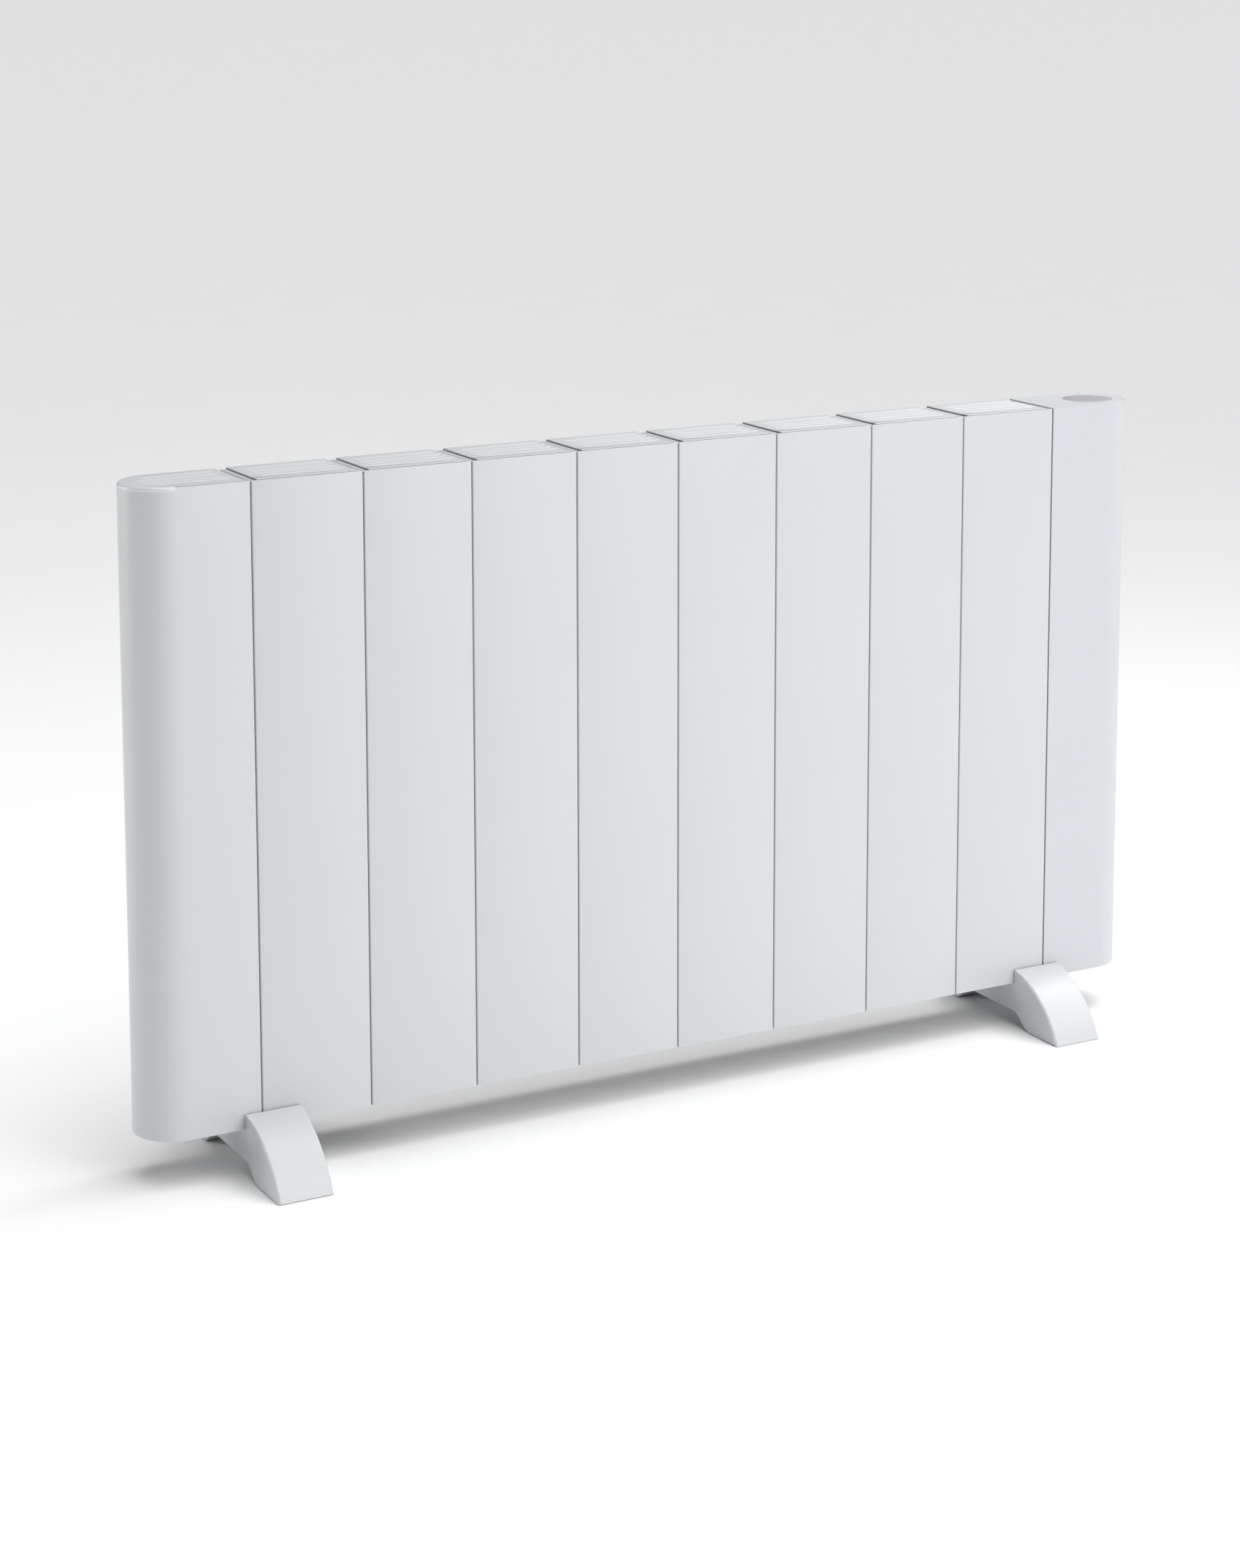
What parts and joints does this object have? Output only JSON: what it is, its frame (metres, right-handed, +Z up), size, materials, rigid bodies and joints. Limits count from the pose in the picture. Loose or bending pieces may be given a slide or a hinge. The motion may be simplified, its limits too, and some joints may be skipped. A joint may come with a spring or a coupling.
{
  "type": "oil filled radiator heater",
  "caption": "Free-standing oil filled radiator: a row of flat panelled sections with fluted top caps, a rounded control column with a flush dial, and two arched feet.",
  "frame": {"origin": "on the floor, under the middle of the radiator (centre of the bounding box's base)", "axes": "+X along the row of sections towards the control column, +Y from the front panels to the back, +Z up"},
  "size_m": [1, 0.2106, 0.591],
  "materials": {
    "casing_paint": "satin powder coat",
    "cap_paint": "satin powder coat",
    "cast_core": "as cast",
    "zinc_steel": "zinc plated",
    "bright_steel": "drawn",
    "gasket_rubber": "matt",
    "brass": "turned",
    "column_plastic": "fine satin grain",
    "lid_plastic": "fine satin grain",
    "terminal_plastic": "moulded",
    "black_plastic": "moulded",
    "circuit_board": "solder mask",
    "lead_silicone": "smooth",
    "dial_plastic": "satin",
    "foot_plastic": "satin moulded",
    "pad_rubber": "matt"
  },
  "bodies": {
    "root": {"casing_1": "casing_paint", "casing_2": "casing_paint", "casing_3": "casing_paint", "casing_4": "casing_paint", "casing_5": "casing_paint", "casing_6": "casing_paint", "casing_7": "casing_paint", "casing_8": "casing_paint", "casing_9": "casing_paint", "cap_1": "cap_paint", "cap_2": "cap_paint", "cap_3": "cap_paint", "cap_4": "cap_paint", "cap_5": "cap_paint", "cap_6": "cap_paint", "cap_7": "cap_paint", "cap_8": "cap_paint", "cap_9": "cap_paint", "core_1": "cast_core", "core_2": "cast_core", "core_3": "cast_core", "core_4": "cast_core", "core_5": "cast_core", "core_6": "cast_core", "core_7": "cast_core", "core_8": "cast_core", "core_9": "cast_core", "header_nipples": "zinc_steel", "header_plugs": "zinc_steel", "header_gaskets": "gasket_rubber", "element_gasket": "gasket_rubber", "fill_plug": "brass", "board_spacers": "brass", "earth_stud": "brass", "heating_element": "bright_steel", "temperature_probe": "bright_steel", "heat_shield": "zinc_steel", "chassis": "zinc_steel", "column_screws": "zinc_steel", "foot_straps": "zinc_steel", "foot_screws": "zinc_steel", "column_shell": "column_plastic", "column_base": "column_plastic", "column_lid": "lid_plastic", "terminal_block": "terminal_plastic", "thermal_cutout": "black_plastic", "relays": "black_plastic", "thermostat": "black_plastic", "switch_housing": "black_plastic", "cable_gland": "black_plastic", "gland_nut": "black_plastic", "power_board": "circuit_board", "element_leads": "lead_silicone", "foot_left": "foot_plastic", "foot_right": "foot_plastic", "foot_pads": "pad_rubber"},
    "dial": {"control_dial": "dial_plastic", "thermostat_shaft": "bright_steel"},
    "rocker": {"rocker": "black_plastic"}
  },
  "joints": [
    {"name": "dial_turn", "type": "hinge", "parent": "root", "child": "dial", "pos_m": [0.46475, 0, 0.591], "axis": [0, 0, 1], "range_deg": [-270, 0]},
    {"name": "rocker_tip", "type": "hinge", "parent": "root", "child": "rocker", "pos_m": [0.452, 0.03225, 0.126], "axis": [-1, 0, 0], "range_deg": [0, 16]}
  ]
}
